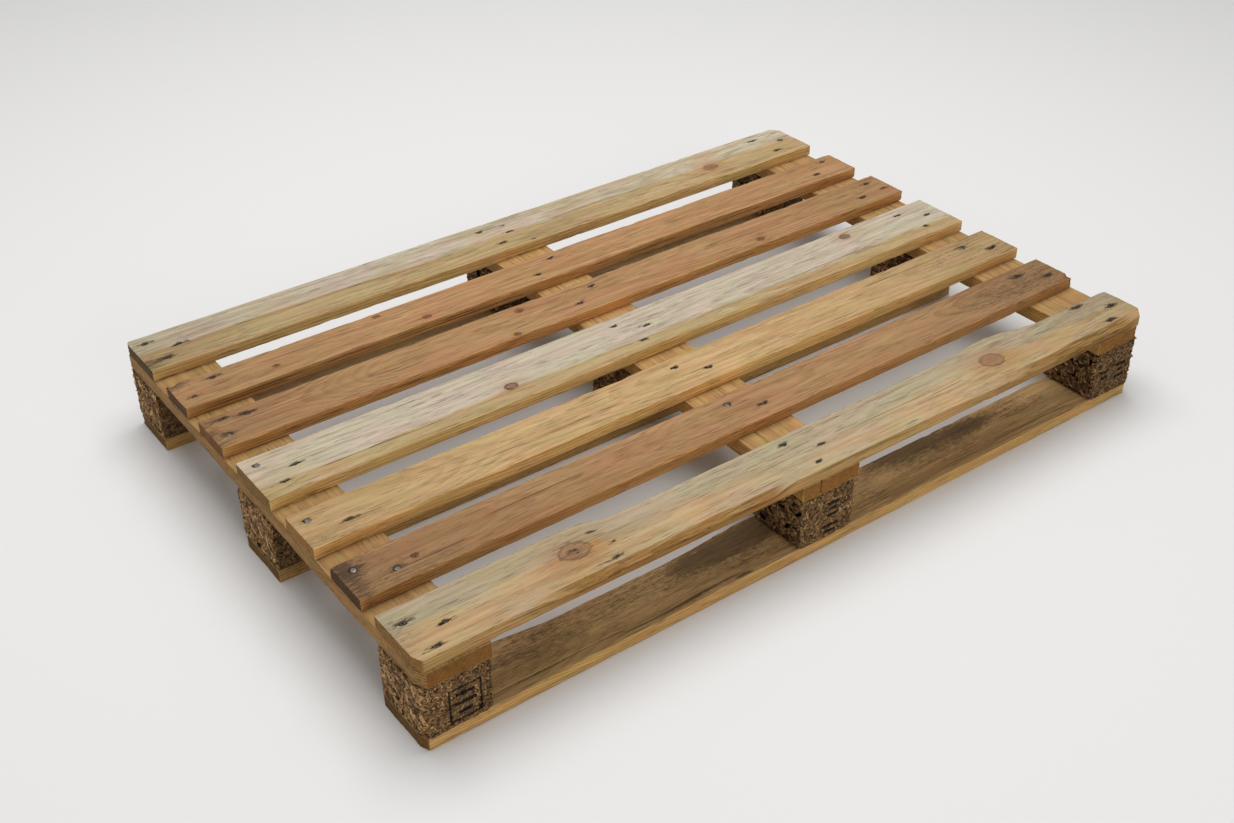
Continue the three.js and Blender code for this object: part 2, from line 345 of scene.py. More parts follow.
class Graph:
    """Adds nodes to a material; each call gives the new node's output."""

    def __init__(self, material):
        self.tree = material.node_tree
        self.shader = self.tree.nodes["Principled BSDF"]

    def node(self, kind, inputs=(), **settings):
        node = self.tree.nodes.new(kind)
        for key, value in settings.items():
            setattr(node, key, value)
        for key, value in dict(inputs).items():
            if isinstance(value, bpy.types.NodeSocket):
                self.tree.links.new(value, node.inputs[key])
            else:
                node.inputs[key].default_value = value
        return node

    def attribute(self, name):
        return self.node("ShaderNodeAttribute", attribute_name=name).outputs["Fac"]

    def math(self, operation, first, second=0.0):
        return self.node("ShaderNodeMath", {0: first, 1: second}, operation=operation).outputs[0]

    def add(self, first, second):
        return self.math("ADD", first, second)

    def times(self, first, second):
        return self.math("MULTIPLY", first, second)

    def rise(self, value, low, high, bottom=0.0, top=1.0):
        values = {"Value": value, "From Min": low, "From Max": high, "To Min": bottom, "To Max": top}
        node = self.node("ShaderNodeMapRange", values, interpolation_type="SMOOTHSTEP")
        return node.outputs["Result"]

    def mix(self, share, first, second, blend="MIX"):
        node = self.node("ShaderNodeMix", data_type="RGBA", blend_type=blend, clamp_factor=True)
        for key, value in ((0, share), (6, first), (7, second)):
            if isinstance(value, bpy.types.NodeSocket):
                self.tree.links.new(value, node.inputs[key])
            else:
                node.inputs[key].default_value = value
        return node.outputs[2]

    def scaled(self, vector, factors, shift=(0.0, 0.0, 0.0)):
        node = self.node("ShaderNodeVectorMath", {0: vector, 1: factors, 2: shift},
                         operation="MULTIPLY_ADD")
        return node.outputs[0]

    def noise(self, vector, detail=2.0, rough=0.5):
        values = {"Vector": vector, "Scale": 1.0, "Detail": detail, "Roughness": rough}
        return self.node("ShaderNodeTexNoise", values).outputs[0]

    def tinted(self, share, base, tint):
        return self.mix(share, base, self.mix(1.0, base, tint, "MULTIPLY"))

    def brightness(self, base, factor):
        """base made darker or lighter by a factor that varies over the surface."""
        scale = self.node("ShaderNodeCombineColor", {0: factor, 1: factor, 2: factor}).outputs[0]
        return self.mix(1.0, base, scale, "MULTIPLY")

    def finish(self, base, roughness, height, reach):
        links = self.tree.links
        links.new(base, self.shader.inputs["Base Color"])
        links.new(roughness, self.shader.inputs["Roughness"])
        bump = self.node("ShaderNodeBump", {"Height": height, "Strength": 1.0, "Distance": reach})
        links.new(bump.outputs[0], self.shader.inputs["Normal"])


# ---- Wood ----

# The dark colour of dirt, also used for painted shade under the deck on the front base board.
GRIME_AND_SHADE = colour(58, 42, 28)
FRESH = colour(198, 138, 74)
END_TINT = (0.44, 0.32, 0.13, 1)
# Painted bounce light: the warm tint that the long sides of every board get.
SIDE_PAINTED_LIGHT_TINT = (1.0, 0.92, 0.70, 1)
HALO_TINT = (0.88, 0.70, 0.58, 1)
BARK_TINT = (0.72, 0.61, 0.43, 1)
YELLOW_TINT, PINK_TINT = (1.0, 1.0, 0.93, 1), (1.05, 0.97, 0.97, 1)


def wood_material(name, early, late, grey, knot, ring_gap, ring_depth, streak):
    """Sawn softwood. It reads the board's own values: its grain directions in mm (grain_along,
    grain_across, grain_up), the distance from the tree's heart (ring), and how far each point is
    weathered, dark with dirt and painted shade, freshly torn, bark, a side face, an end face, in or near a
    knot, or in a crack. The long sides get painted light and shade; cracks and torn layer lines get
    painted shade."""
    material = new_material(name)
    g = Graph(material)
    parts = {i: g.attribute(key) for i, key in enumerate(("grain_along", "grain_across", "grain_up"))}
    grain = g.node("ShaderNodeCombineXYZ", parts).outputs[0]
    side = g.attribute("side")

    # Each noise has its waves per mm, along, across and up, and a shift of its own.
    fibre = g.noise(g.scaled(grain, (0.022, 1.1, 1.1)), detail=3.0, rough=0.6)
    check = g.noise(g.scaled(grain, (0.026, 0.58, 0.58), (9.0, 17.0, 5.0)), detail=2.0, rough=0.5)
    smear = g.noise(g.scaled(grain, (0.011, 0.17, 0.17), (19.0, 43.0, 7.0)), detail=3.0, rough=0.65)
    broad = g.noise(g.scaled(grain, (0.0045, 0.075, 0.075), (31.0, 7.0, 3.0)), detail=3.0)
    patch = g.noise(g.scaled(grain, (0.011, 0.030, 0.030), (5.0, 71.0, 13.0)), detail=4.0, rough=0.6)
    speck = g.noise(g.scaled(grain, (0.10, 0.55, 0.55), (3.0, 11.0, 57.0)), detail=2.0, rough=0.7)
    hue = g.noise(g.scaled(grain, (0.013, 0.030, 0.030), (77.0, 3.0, 29.0)), detail=2.0)

    # Year rings: pale early wood that darkens into a late line.
    wander = g.times(g.add(g.noise(g.scaled(grain, (0.012, 0.10, 0.10))), -0.5), 3.0)
    turns = g.math("DIVIDE", g.add(g.attribute("ring"), wander), ring_gap)
    turn = g.math("FRACT", turns)
    late_wood = g.times(g.rise(turn, 0.30, 0.86), g.rise(turn, 0.90, 1.0, 1.0, 0.0))
    ring_tone = g.noise(g.node("ShaderNodeCombineXYZ", {0: g.times(turns, 0.37)}).outputs[0])
    ring_share = g.times(late_wood, g.rise(ring_tone, 0.30, 0.70, 0.35, 1.0))
    ring_share = g.times(ring_share, g.rise(side, 0.0, 1.0, ring_depth, 1.0))
    wood = g.mix(ring_share, early, late)
    wood = g.mix(g.rise(broad, 0.35, 0.70, 0.0, streak), wood, late)

    # Weather, knots, bark and torn wood.
    weather = g.add(g.attribute("weather"), g.times(g.add(patch, -0.5), 0.9))
    weather = g.add(weather, g.times(g.add(smear, -0.5), 0.7))
    old = g.mix(g.times(ring_share, 0.55), grey, g.brightness(late, 0.8))
    wood = g.mix(g.rise(weather, 0.18, 0.85), wood, old)
    wood = g.tinted(g.attribute("halo"), wood, HALO_TINT)
    in_knot = g.times(g.attribute("knot"), 0.85)
    wood = g.mix(in_knot, wood, g.mix(late_wood, g.mix(0.45, knot, early), knot))
    wood = g.mix(1.0, wood, g.mix(g.rise(hue, 0.38, 0.62), YELLOW_TINT, PINK_TINT), "MULTIPLY")
    # Painted bounce light: the long sides get a warm tint.
    wood = g.tinted(side, wood, SIDE_PAINTED_LIGHT_TINT)
    wood = g.tinted(g.attribute("bark"), wood, BARK_TINT)
    wood = g.mix(g.attribute("bare"), wood, FRESH)

    # Dirt and painted shade, then the light and dark of the fibres, checks and specks.
    grime = g.add(g.attribute("grime"), g.times(g.add(patch, -0.5), 0.5))
    grime = g.add(grime, g.times(g.add(speck, -0.5), 0.9))
    wood = g.mix(g.rise(grime, 0.30, 0.75, 0.0, 0.78), wood, GRIME_AND_SHADE)
    wood = g.tinted(g.attribute("end"), wood, END_TINT)
    wood = g.brightness(wood, g.rise(fibre, 0.25, 0.75, 0.85, 1.10))
    wood = g.brightness(wood, g.rise(smear, 0.32, 0.66, 0.87, 1.07))
    wood = g.brightness(wood, g.rise(speck, 0.62, 0.74, 1.0, 0.74))
    thin = g.times(g.rise(check, 0.59, 0.66), g.rise(patch, 0.34, 0.56))
    wood = g.brightness(wood, g.rise(thin, 0.0, 1.0, 1.0, 0.62))
    # The shade value: the board's tone, with painted light and shade on its long sides.
    wood = g.brightness(wood, g.attribute("shade"))
    # The dark value: knot rims and cores, and painted shade along the torn layer steps.
    wood = g.brightness(wood, g.rise(g.attribute("dark"), 0.0, 1.0, 1.0, 0.22))
    # Painted shade: the drying cracks are darkened almost to black; the nail pits get the same dark as iron
    # stain.
    wood = g.brightness(wood, g.rise(g.attribute("crack"), 0.0, 1.0, 1.0, 0.10))

    height = g.add(g.times(fibre, 0.6), g.add(g.times(late_wood, 0.35), g.times(speck, -0.35)))
    height = g.add(height, g.times(thin, -0.6))
    roughness = g.rise(g.add(fibre, g.times(late_wood, -0.3)), 0.0, 1.0, 0.62, 0.92)
    g.finish(wood, roughness, height, 0.0006)
    g.shader.inputs["Specular IOR Level"].default_value = 0.25
    return material


# Early wood, late wood, weathered wood and knots; the mm between rings; how strongly the rings show on
# the top face; and how strong the broad dark streaks are.
WOOD_LOOKS = dict(
    weathered_pine=(colour(184, 163, 122), colour(156, 124, 80), colour(194, 184, 165),
                    colour(112, 70, 44), 4.2, 0.5, 0.35),
    red_pine=(colour(178, 142, 101), colour(150, 104, 64), colour(142, 120, 98),
              colour(98, 52, 32), 3.2, 0.6, 0.4),
    yellow_pine=(colour(194, 166, 121), colour(164, 127, 80), colour(174, 162, 136),
                 colour(132, 90, 68), 3.8, 0.55, 0.35),
    stringer_pine=(colour(192, 156, 102), colour(158, 114, 62), colour(160, 142, 112),
                   colour(110, 70, 42), 3.6, 0.4, 0.35),
    base_pine=(colour(192, 162, 114), colour(150, 120, 78), colour(140, 122, 96),
               colour(96, 64, 42), 3.8, 0.6, 0.4),
)
WOODS = {name: wood_material(name, *look) for name, look in WOOD_LOOKS.items()}


def knots_and_rings(along, across, up, look, seed):
    """The distance from the tree's heart in mm, and how far each point is in a knot, near one, or in
    its dark rim and core. The grain bends round knots and the heart wanders, so rings run in arches."""
    knot, halo, dark = np.zeros_like(along), np.zeros_like(along), np.zeros_like(along)
    bent, inner = across.copy(), np.zeros_like(along)
    flecks = layered(np.stack([along, across, up], 1), (6, 3, 6), seed, 2)
    for place, side, radius, rim, core in look.get("knots", ()):
        away = np.hypot((along - place) / 1.4, across - side) / radius
        away = away * (1 + 0.12 * flecks)
        bent = side + (bent - side) * (1 - 0.8 * np.exp(-((away / 2.4) ** 2)))
        own = 1 - smooth(away, 0.82, 1.05)
        knot = np.maximum(knot, own)
        inner = np.where(own > 0, away * radius * 1.9, inner)
        halo = np.maximum(halo, np.exp(-((away / 2.3) ** 2)) * min(1.0, radius / 8))
        dark = np.maximum(dark, rim * bell(away, 1.0, 0.18) * (0.75 + 0.5 * flecks))
        middle = (1 - smooth(away, 0.2, 0.75)) * (0.35 + 0.65 * smooth(flecks, -0.1, 0.4))
        dark = np.maximum(dark, core * middle)
    heart_side, heart_depth = look["heart"]
    heart_side = heart_side + 7 * noise_along(along, 310, seed + 1)
    heart_depth = heart_depth + 20 * noise_along(along, 260, seed + 2) + along * 0.01
    ring = np.hypot(bent - heart_side, up - heart_depth)
    return dict(ring=ring * (1 - knot) + inner * knot, knot=knot, halo=halo, dark=np.clip(dark, 0, 1))


def rounded(points, low, high, radius):
    """Points on a box moved onto the same box with round edges of the given radius."""
    inner_low, inner_high = low + radius, high - radius
    core = np.clip(points, inner_low, inner_high)
    out = points - core
    length = np.linalg.norm(out, axis=1, keepdims=True)
    corner = (np.abs(out) > 1e-6).sum(1, keepdims=True) > 1
    longest = np.abs(out).max(1, keepdims=True)
    return np.where(corner, core + out * longest / np.maximum(length, 1e-9), points)


# Half the length and half the width of the mark that a nail leaves: a torn slit over a sunk head, a
# round hole where the head shows, and the scar of a nail that is gone.
SLIT, HOLE, SCAR = (7.5, 2.7), (5.2, 5.0), (3.4, 1.4)
SHOWN_HEADS = {"deck_nail_4_left_a", "deck_nail_5_left_a", "deck_nail_6_left_a", "deck_nail_6_left_b",
               "deck_nail_6_middle_a", "deck_nail_5_right_a", "deck_nail_3_left_b", "deck_nail_1_right_b"}
MARK_REACH = (34, 13)


def pits(along, across, marks):
    """How deep the wood is torn at each nail mark, from 0 to 1, and how dark it is round it."""
    depth, dark = np.zeros_like(along), np.zeros_like(along)
    for number, (mark_along, mark_across, half_length, half_width) in enumerate(marks):
        near = np.abs(along - mark_along) < MARK_REACH[0]
        near &= np.abs(across - mark_across) < MARK_REACH[1]
        torn = half_length > half_width + 1
        dl, da = along[near] - mark_along, across[near] - mark_across
        chance = cell_values(np.array([[number, round(mark_along), i] for i in range(3)]), 9)
        rough = layered(np.stack([dl, da, np.full_like(dl, number)], 1), (6, 1.7, 1), 300, 2)
        rough = rough * (1.0 if torn else 0.35)
        reach = half_length * (1 + 0.32 * chance[0])
        slot = np.hypot((dl - 1.5 * chance[1]) / reach, (da + 0.1 * chance[2] * dl) / half_width)
        hole = 1 - smooth(slot + 0.3 * rough, 0.72, 1.08)
        depth[near] = np.maximum(depth[near], hole)
        halo = np.hypot(dl / (reach + 9), da / (half_width + 2.2)) + 0.4 * rough
        around = (0.55 if torn else 0.3) * (1 - smooth(halo, 0.4, 1.1))
        dark[near] = np.maximum(dark[near], np.maximum(hole, around))
    return depth, dark


# The grid's steps in mm: along the board, finer near nail marks, knots and ends, and across and up.
STEP, FINE_STEP, STRINGER_FINE_STEP = 4.0, 1.3, 2.5
MARK_FINE, KNOT_FINE = 11, 1.6
ACROSS_STEP, UP_STEP = 1.8, 1.5
WANE_STEPS = 4
WANE_FINE = np.arange(5.0, 16.0, 1.2)

# One number for each noise on a board. It is added to the board's own seed.
(WEAR, BITE, WANE, KNOTS, FINE_GRAIN, COARSE_GRAIN, SAW, END_PITS, KNOT_PITS, TORN_ARRIS, CRACK_SWAY,
 BAND, DIRT) = range(2, 15)
SIDE_GRAIN, BREAK, CRACK_GAPS, BAND_EDGE, FRESH_PATCH, WANE_LINE, LAYER_SWAY = range(16, 23)
LAYER_GAPS = 32


def crack_width(depth):
    """Half the width of a drying crack at its mouth: deep ones gape."""
    return 0.55 + 0.14 * depth


def across_places(width, look):
    """Places from 0 to 1 across a board, with close rows at its arrises, at its cracks and on its wane."""
    slits = [share + side * crack_width(depth) / width for share, _, _, depth in look.get("cracks", ())
             for side in (-1.0, -0.5, 0.0, 0.5, 1.0)]
    places = list(shares(width, ACROSS_STEP))
    if "wanes" in look:
        places += list(WANE_FINE / width)
    kept = []
    for place in sorted(places):
        clear_of_slits = all(abs(place - slit) * width > 0.6 for slit in slits)
        if clear_of_slits and (not kept or (place - kept[-1]) * width > 0.3):
            kept.append(place)
    return np.array(sorted({*kept, *slits}))


class Board:
    """A sawn board on a fine grid over its CAD outline. Each point has its place (along, across, up) and
    how far it is over the width and the thickness, from 0 to 1 (share, rise)."""

    def __init__(self, node, look, nails, nails_below, turned, seed):
        low, high = cad_box(node)
        self.look, self.turned, self.seed = look, turned, seed
        self.start, self.end = (low[1], high[1]) if turned else (low[0], high[0])
        self.bottom, self.top = low[2], high[2]
        self.width = (high[0] - low[0]) if turned else (high[1] - low[1])
        middle = (low[0] + high[0]) / -2 if turned else (low[1] + high[1]) / 2
        self.marks = [(x, y, *(HOLE if name in SHOWN_HEADS else SLIT)) for name, x, y in nails]
        self.marks += [(place, middle + side, *SCAR) for place, side in look.get("scars", ())]
        self.marks_below = [(x, y, *SLIT) for _, x, y in nails_below]

        fine_places = [(mark[0], MARK_FINE) for mark in (*self.marks, *self.marks_below)]
        fine_places += [(self.start, MARK_FINE), (self.end, MARK_FINE)]
        fine_places += [(knot[0], KNOT_FINE * knot[2]) for knot in look.get("knots", ())]
        fine_step = STRINGER_FINE_STEP if turned else FINE_STEP
        along_steps = spread(self.start, self.end, STEP, fine_step, fine_places)
        across_shares = across_places(self.width, look)
        up_shares = shares(self.top - self.bottom, UP_STEP)
        steps, self.faces = skin((len(along_steps) - 1, len(across_shares) - 1, len(up_shares) - 1))
        self.along = along_steps[steps[:, 0]]
        self.share, self.rise = across_shares[steps[:, 1]], up_shares[steps[:, 2]]
        edges = edge_places(node, turned, along_steps)
        self.front, self.back = edges[0][steps[:, 0]], edges[1][steps[:, 0]]
        self.across = self.front + (self.back - self.front) * self.share
        self.up = self.bottom + (self.top - self.bottom) * self.rise
        self.rest = np.stack([self.along, self.across, self.up], 1)
        self.side = self.across - middle
        self.lift = self.up - (self.bottom + self.top) / 2
        self.to_arris = np.minimum(self.across - self.front, self.back - self.across)
        self.to_end = np.stack([self.along - self.start, self.end - self.along])
        self.bark, self.layer_painted_shade, self.crack = (np.zeros_like(self.along) for _ in range(3))

    def listed(self, key):
        return self.look.get(key, ())

    def waves(self, size, which, layers=3):
        """Layered noise over the board. size is the length of one wave along, across and up, in mm."""
        return layered(self.rest, size, self.seed + which, layers)

    def sway(self, size, which):
        """Noise that changes only along the board."""
        return noise_along(self.along, size, self.seed + which)

    def spot(self, place, side, reach_along, reach_across):
        """1 at one place on the board and falling away round it."""
        return bell(self.along, place, reach_along) * bell(self.side, side, reach_across)

    def shape(self):
        """Moves the points from the plain outline to the worn board, one step after the other."""
        self.wear_arrises()
        self.values = knots_and_rings(self.along, self.side, self.lift, self.look, self.seed + KNOTS)
        self.shape_wane()
        self.find_faces()
        self.raise_grain()
        self.tear_layers()
        self.break_arrises()
        self.press_nails()
        self.open_cracks()
        self.points += self.normal * self.relief[:, None]
        if self.bottom < 1:
            self.points[:, 2] = np.maximum(self.points[:, 2], 0.0)

    def wear_arrises(self):
        """The rounding of the edges changes along the board and bites deeper here and there."""
        wear = 1.2 + 0.6 * self.sway(23, WEAR) + self.look.get("wear", 0.0)
        bite = smooth(self.waves((34, 90, 9), BITE), 0.45, 1.1)
        radius = np.clip(wear + 2.2 * bite, 0.5, 4.3)[:, None]
        flat = np.ones_like(self.along)
        low = np.stack([self.start * flat, self.front, self.bottom * flat], 1)
        high = np.stack([self.end * flat, self.back, self.top * flat], 1)
        self.points = rounded(self.rest, low, high, radius)

    def shape_wane(self):
        """The bark side: the edge falls away in torn layers where the log's outside was reached, with a
        line of painted shade along each layer step.
        """
        for first, full, last, width, depth in self.listed("wanes"):
            shown = smooth(self.along, first, full) * (1 - smooth(self.along, last, last + 40))
            width_here = width * (0.9 + 0.25 * self.sway(46, WANE))
            slope = np.clip(1 - (self.across - self.front) / width_here, 0, 1)
            layer = slope * WANE_STEPS + 1.1 * self.waves((38, 6, 6), WANE) * (slope > 0)
            part = layer - np.floor(layer)
            stepped = np.clip((np.floor(layer) + smooth(part, 0.6, 1.0)) / WANE_STEPS, 0, 1)
            self.points[:, 2] -= depth * (0.4 * slope + 0.6 * stepped) * shown * self.rise
            self.bark = np.maximum(self.bark, smooth(slope, 0.0, 0.15) * shown)
            # Painted shade: a dark line along each layer step.
            line = 0.5 * bell(part, 0.78, 0.16) * shown * (slope > 0.02) * self.rise**2
            line *= smooth(self.waves((80, 5, 5), WANE_LINE, 2), -0.5, 0.2)
            self.layer_painted_shade = np.maximum(self.layer_painted_shade, line)

    def find_faces(self):
        """How far each point is on an end, on the top, on the bottom or on a long side."""
        self.normal = normals_of(self.points, self.faces)
        self.at_end = smooth(np.abs(self.normal[:, 0]), 0.5, 0.9)
        self.on_top = smooth(self.normal[:, 2], 0.4, 0.8)
        self.on_bottom = smooth(-self.normal[:, 2], 0.4, 0.8)
        self.on_side = smooth(np.abs(self.normal[:, 1]), 0.45, 0.85)

    def raise_grain(self):
        """Raised grain, finer across the fibres than along them, saw-torn ends, and pits in the knots."""
        relief = 0.2 * self.waves((60, 2.6, 2.6), FINE_GRAIN)
        relief = relief + 0.24 * self.waves((150, 14, 14), COARSE_GRAIN)
        relief += 0.25 * self.on_side * self.waves((90, 2.2, 2.2), SIDE_GRAIN, 2)
        ragged = 0.75 * self.waves((400, 2.4, 2.4), SAW, 2) + 0.3 * self.waves((9, 9, 9), END_PITS)
        relief = relief * (1 - self.at_end) + (ragged - 0.7) * self.at_end
        relief -= 0.5 * self.values["knot"] * smooth(self.waves((6, 3, 3), KNOT_PITS), 0.1, 0.7)
        self.relief = relief - 0.7 * self.values["dark"]

    def tear_layers(self):
        """Layers torn along the front face, one wandering line at each height, sunk into the wood and
        darkened with painted shade.
        """
        for first, last, *heights in self.listed("torn_layers"):
            shown = smooth(self.along, first, first + 50) * (1 - smooth(self.along, last - 30, last))
            shown *= self.share < 0.3
            for number, height in enumerate(heights):
                middle = height + 1.8 * self.sway(60, LAYER_SWAY + number)
                line = bell(self.up - self.bottom, middle, 0.9) * self.on_side * shown
                line *= smooth(self.sway(37, LAYER_GAPS + number), -0.6, 0.0)
                self.relief -= 0.9 * line
                # Painted shade along the torn line.
                self.layer_painted_shade = np.maximum(self.layer_painted_shade, line)

    def break_arrises(self):
        """Fibres torn off the arrises, corners broken off, and the fresh wood that they lay bare."""
        to_face = np.minimum(self.up - self.bottom, self.top - self.up)
        arris = np.exp(-(np.maximum(self.to_arris, 0) + np.maximum(to_face, 0)) / 2.6)
        torn = smooth(self.waves((26, 3, 3), TORN_ARRIS), 0.66, 0.92) * arris
        self.relief -= 1.6 * torn
        self.bare = 0.7 * torn
        for place, side, reach, depth, fresh in self.listed("breaks"):
            away = np.hypot(self.along - place, self.side - side) / reach
            broken = smooth(1.1 - away + 0.35 * self.waves((9, 4, 4), BREAK, 2), 0.0, 0.6)
            self.relief -= depth * broken * (0.4 + 0.6 * self.rise)
            self.bare = np.maximum(self.bare, fresh * broken)
        for *spot, amount in self.listed("fresh"):
            patchy = 0.6 + 0.7 * self.waves((12, 5, 5), FRESH_PATCH, 2)
            self.bare = np.maximum(self.bare, np.clip(amount * self.spot(*spot) * patchy, 0, 1))

    def press_nails(self):
        """The torn pits over the nails, on the top and on the bottom."""
        self.pit, dark = pits(self.along, self.across, self.marks)
        pit_below, dark_below = pits(self.along, self.across, self.marks_below)
        self.mark_dark = np.maximum(dark * self.on_top, dark_below * self.on_bottom)
        self.relief -= 2.3 * self.pit * self.on_top + 2.3 * pit_below * self.on_bottom
        self.relief = np.minimum(self.relief, 0.35)

    def open_cracks(self):
        """Drying cracks follow the grain: the rows of points inside one drop into the wood."""
        for place, first, last, depth in self.listed("cracks"):
            row = 1 - smooth(np.abs(self.share - place) * self.width / crack_width(depth), 0.55, 0.95)
            length = (last - first) / 2
            open_here = smooth(length - np.abs(self.along - (first + last) / 2), 0, length * 0.5)
            open_here *= smooth(self.sway(31, CRACK_GAPS) + 0.16 * depth, -0.35, 0.15)
            shown = row * np.maximum(self.on_top, self.at_end) * open_here
            # The crack mask becomes painted shade in the shader.
            self.crack = np.maximum(self.crack, shown)
            self.relief -= depth * shown
            bend = bell(self.share * self.width, place * self.width, 9) * self.sway(90, CRACK_SWAY) * 2.2
            self.points[:, 1] += bend * smooth(self.to_arris, 1, 8)

    def weather(self):
        """How grey the wood is: in bands along the board, in pale spots, and little on the sides."""
        weather = np.full_like(self.along, self.look["weather"])
        for first, last, amount in self.listed("bands"):
            place = self.share + 0.05 * self.sway(120, BAND_EDGE)
            band = smooth(place, first - 0.04, first + 0.04)
            band *= 1 - smooth(place, last - 0.04, last + 0.04)
            weather += amount * band * (0.75 + 0.4 * self.sway(140, BAND))
        for *spot, amount in self.listed("pale"):
            weather += amount * self.spot(*spot)
        return weather * (0.25 + 0.75 * self.on_top)

    def grime(self):
        """Dirt: overall, round the nails, on the sides, near the ends, in bands and in stains. On the front
        base board the bands are also painted shade, darker towards the back under the deck.
        """
        look = self.look
        grime = look.get("grime", 0.0) + self.mark_dark * 0.9
        grime = grime * (1 - 0.6 * self.at_end) + look.get("side_grime", 0.0) * self.on_side
        near_end = np.exp(-np.maximum(self.to_end.min(0), 0) / 55)
        grime = grime + look.get("end_grime", 0.12) * near_end * self.on_top
        # Dirt bands; on the front base board they are also painted shade under the deck.
        for first, last, amount in self.listed("dirt_bands"):
            band = smooth(self.share, first - 0.1, first + 0.1)
            band *= 1 - smooth(self.share, last - 0.1, last + 0.1)
            grime = grime + amount * band * (0.7 + 0.5 * self.sway(120, DIRT)) * self.on_top
        for *spot, amount in self.listed("stains"):
            grime = grime + amount * self.spot(*spot)
        return grime

    def shade(self):
        """How light the wood is: its tone, painted light and shade on its long sides, its sawn ends, and
        its stretch near the left and right end.
        """
        look = self.look
        # Painted light and shade: the long sides are scaled by the board's own side factor.
        shade = look.get("shade", 1.0) * (1 + self.on_side * (look.get("side_painted_light", 1.0) - 1))
        shade = shade * (1 + self.at_end * (look.get("end_dark", 1.0) - 1))
        for distance, level in zip(self.to_end, look.get("end_shades", (1.0, 1.0))):
            shade = shade * (1 + (level - 1) * np.exp(-((np.maximum(distance, 0) / 260) ** 2)))
        return shade

    def make(self, name, wood):
        """The finished object."""
        grime = self.grime()
        shift = rng.uniform(0, 900, 3)
        # Painted shade along the torn layer steps joins the dark of the knots.
        self.values["dark"] = np.maximum(self.values["dark"], 0.8 * self.layer_painted_shade)
        points = self.points
        if self.turned:
            points = np.stack([-points[:, 1], points[:, 0], points[:, 2]], 1)
        body = Body()
        body.add(
            points, self.faces, weather=self.weather(), grime=grime, shade=self.shade(), bark=self.bark,
            bare=self.bare * (1 - smooth(grime, 0.5, 0.9)), end=self.at_end, side=self.on_side,
            # The crack value: painted shade in the drying cracks, and iron stain in the nail pits.
            crack=np.maximum(self.crack, 0.85 * self.pit * self.on_top), grain_along=self.along + shift[0],
            grain_across=self.side + shift[1], grain_up=self.lift + shift[2], **self.values,
        )
        return body.make(name, WOODS[wood])


def board(name, node, wood, look, seed, nails=(), nails_below=(), turned=False):
    """Makes the board that stands for a CAD node. A turned board's grain runs along y."""
    sawn = Board(node, look, nails, nails_below, turned, seed)
    sawn.shape()
    piece = sawn.make(name, wood)
    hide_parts(node)
